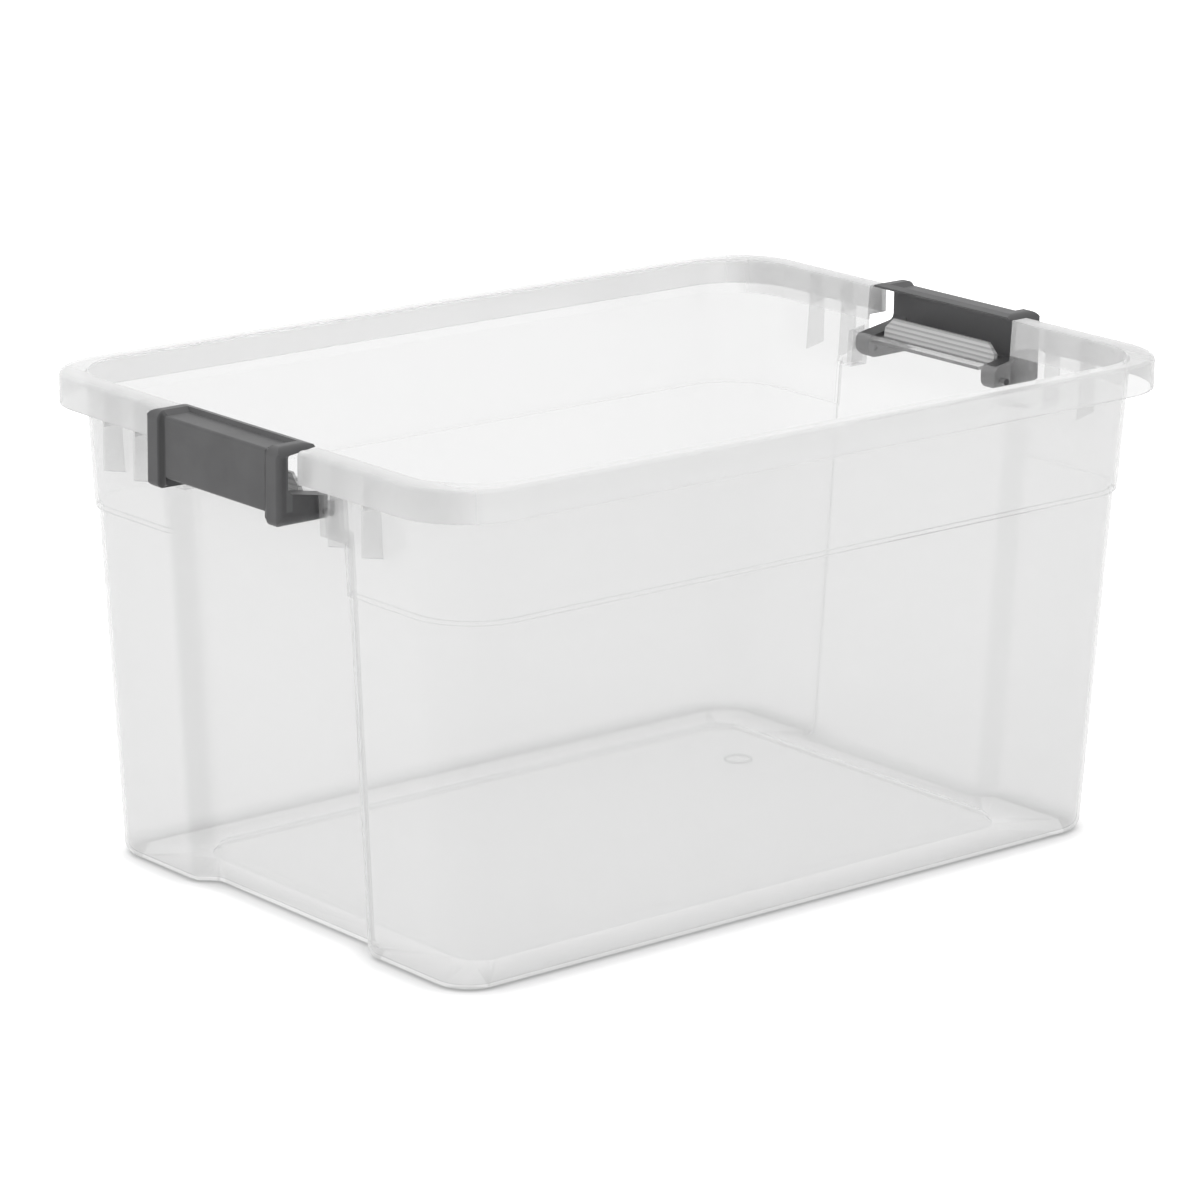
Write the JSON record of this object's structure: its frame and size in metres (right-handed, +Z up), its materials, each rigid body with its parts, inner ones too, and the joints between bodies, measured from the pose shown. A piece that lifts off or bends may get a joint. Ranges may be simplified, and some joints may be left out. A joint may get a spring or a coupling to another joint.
{
  "type": "storage tote",
  "caption": "Clear open-topped storage tote with tapered walls, a skirted rim and a dark latch hinged on pins in a recess at each end, ready to hook over a lid.",
  "frame": {"origin": "middle of the footprint, at the height of the base", "axes": "+X along the tote towards the right latch, +Y across it towards the rear wall, +Z up out of the open top"},
  "size_m": [0.6256, 0.422, 0.3184],
  "materials": {
    "tote_body": "clear polypropylene, slightly frosted, glossy outside",
    "latch": "satin moulded plastic with a fine grain",
    "pin": "smooth satin plastic"
  },
  "bodies": {
    "tote": {"tote_body": "tote_body"},
    "left_latch_body": {"left_latch": "latch", "left_latch_pin_front": "pin", "left_latch_pin_rear": "pin"},
    "right_latch_body": {"right_latch": "latch", "right_latch_pin_front": "pin", "right_latch_pin_rear": "pin"}
  },
  "joints": [
    {"name": "left_latch_hinge", "type": "hinge", "parent": "tote", "child": "left_latch_body", "pos_m": [-0.27759, 0, 0.2762], "axis": [0, -1, 0], "range_deg": [0, 90]},
    {"name": "right_latch_hinge", "type": "hinge", "parent": "tote", "child": "right_latch_body", "pos_m": [0.27759, 0, 0.2762], "axis": [0, 1, 0], "range_deg": [0, 90]}
  ]
}
